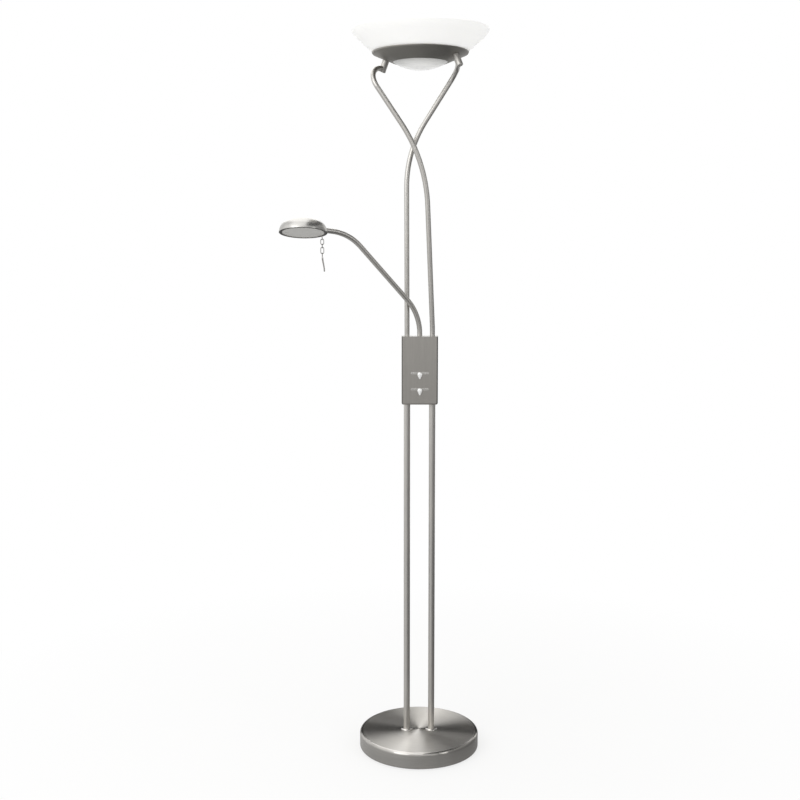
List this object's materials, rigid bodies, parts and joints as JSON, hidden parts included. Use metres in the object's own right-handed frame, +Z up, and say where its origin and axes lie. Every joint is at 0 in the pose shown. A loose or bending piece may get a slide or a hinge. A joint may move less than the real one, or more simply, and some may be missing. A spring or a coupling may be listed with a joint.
{
  "type": "torchiere floor lamp with reading light",
  "caption": "Floor lamp with a glass uplighter bowl on two bent tubes, a dimmer box on twin poles, a round weighted base and a small pull-chain reading light on a swivel arm.",
  "frame": {"origin": "middle of the foam pad under the base, on the floor", "axes": "+Z up, -Y towards the front of the dimmer box, -X towards the side the reading arm stands on"},
  "size_m": [0.4976, 0.3704, 1.8],
  "materials": {
    "satin_nickel": "satin brushed",
    "polished_nickel": "polished",
    "box_enamel": "satin",
    "silver_plastic": "metallised gloss",
    "frosted_glass": "frosted",
    "diffuser_glass": "frosted",
    "cast_iron": "rough",
    "zinc_steel": "zinc plated",
    "black_plastic": "moulded",
    "foam": "foam",
    "circuit_board": "laminate",
    "copper_winding": "enamelled wire",
    "ceramic": "glazed ceramic",
    "bulb_glass": "clear",
    "reflector_aluminium": "polished",
    "lead_sheath": "smooth"
  },
  "bodies": {
    "stand": {"arm_bush": "black_plastic", "base_ballast": "cast_iron", "base_cover": "satin_nickel", "base_floor_plate": "zinc_steel", "base_foam_pad": "foam", "board_spacers": "black_plastic", "box_back_plate": "box_enamel", "box_chassis": "zinc_steel", "box_front_cover": "box_enamel", "box_top_plate": "polished_nickel", "cable_gland": "black_plastic", "centre_diffuser": "diffuser_glass", "cover_screws": "zinc_steel", "diffuser_clips": "zinc_steel", "dimmer_board": "circuit_board", "dimmer_chokes": "copper_winding", "dimmer_triacs": "black_plastic", "gallery_ring": "satin_nickel", "glass_bowl": "frosted_glass", "halogen_tube": "bulb_glass", "lamp_bracket": "zinc_steel", "lamp_leads": "lead_sheath", "lampholders": "ceramic", "lead_clamp": "black_plastic", "lower_pole_left": "satin_nickel", "lower_pole_right": "satin_nickel", "mains_lead": "lead_sheath", "pipe_nuts": "zinc_steel", "pole_collars": "satin_nickel", "pole_end_bushes": "black_plastic", "ring_post_far": "polished_nickel", "ring_post_near": "polished_nickel", "slide_controls": "black_plastic", "terminal_block": "black_plastic", "threaded_pipes": "zinc_steel", "upper_tube_left": "satin_nickel", "upper_tube_right": "satin_nickel"},
    "upper_dimmer_slider": {"slider_lever_upper": "black_plastic", "slider_knob_upper": "silver_plastic"},
    "lower_dimmer_slider": {"slider_lever_lower": "black_plastic", "slider_knob_lower": "silver_plastic"},
    "reading_arm": {"arm_tube": "satin_nickel", "arm_spring_washer": "zinc_steel", "arm_nut": "zinc_steel", "head_swivel_pipe": "zinc_steel", "head_swivel_nut": "zinc_steel", "arm_lead": "lead_sheath"},
    "reading_head": {"head_shell": "satin_nickel", "head_swivel_bush": "polished_nickel", "head_lens_ring": "satin_nickel", "head_lens": "diffuser_glass", "head_reflector": "reflector_aluminium", "head_bracket": "zinc_steel", "head_lampholder": "ceramic", "head_bulb": "bulb_glass", "chain_eyelet": "polished_nickel"},
    "upper_link": {"chain_link_upper": "polished_nickel"},
    "middle_link": {"chain_link_middle": "polished_nickel"},
    "lower_link": {"chain_link_lower": "polished_nickel"},
    "handle": {"pull_handle": "polished_nickel"}
  },
  "joints": [
    {"name": "arm_swivel", "type": "hinge", "parent": "stand", "child": "reading_arm", "pos_m": [0, 0, 1.06], "axis": [0, 0, 1], "range_deg": [-5, 118]},
    {"name": "head_roll", "type": "hinge", "parent": "reading_arm", "child": "reading_head", "pos_m": [-0.2746, -0.14601, 1.3259], "axis": [-0.8781, -0.4669, 0.1045], "range_deg": [-80, 80]},
    {"name": "dimmer_upper", "type": "slide", "parent": "stand", "child": "upper_dimmer_slider", "axis": [1, 0, 0], "range_m": [-0.016, 0.016]},
    {"name": "dimmer_lower", "type": "slide", "parent": "stand", "child": "lower_dimmer_slider", "axis": [1, 0, 0], "range_m": [-0.016, 0.016]},
    {"name": "upper_link_swing", "type": "hinge", "parent": "reading_head", "child": "upper_link", "pos_m": [-0.23258, -0.11598, 1.29779], "axis": [0, 1, 0], "range_deg": [-35, 35]},
    {"name": "middle_link_swing", "type": "hinge", "parent": "upper_link", "child": "middle_link", "pos_m": [-0.23258, -0.11598, 1.28669], "axis": [1, 0, 0], "range_deg": [-35, 35]},
    {"name": "lower_link_swing", "type": "hinge", "parent": "middle_link", "child": "lower_link", "pos_m": [-0.23258, -0.11598, 1.27859], "axis": [0, 1, 0], "range_deg": [-35, 35]},
    {"name": "handle_swing", "type": "hinge", "parent": "lower_link", "child": "handle", "pos_m": [-0.23258, -0.11598, 1.26549], "axis": [1, 0, 0], "range_deg": [-35, 35]}
  ]
}
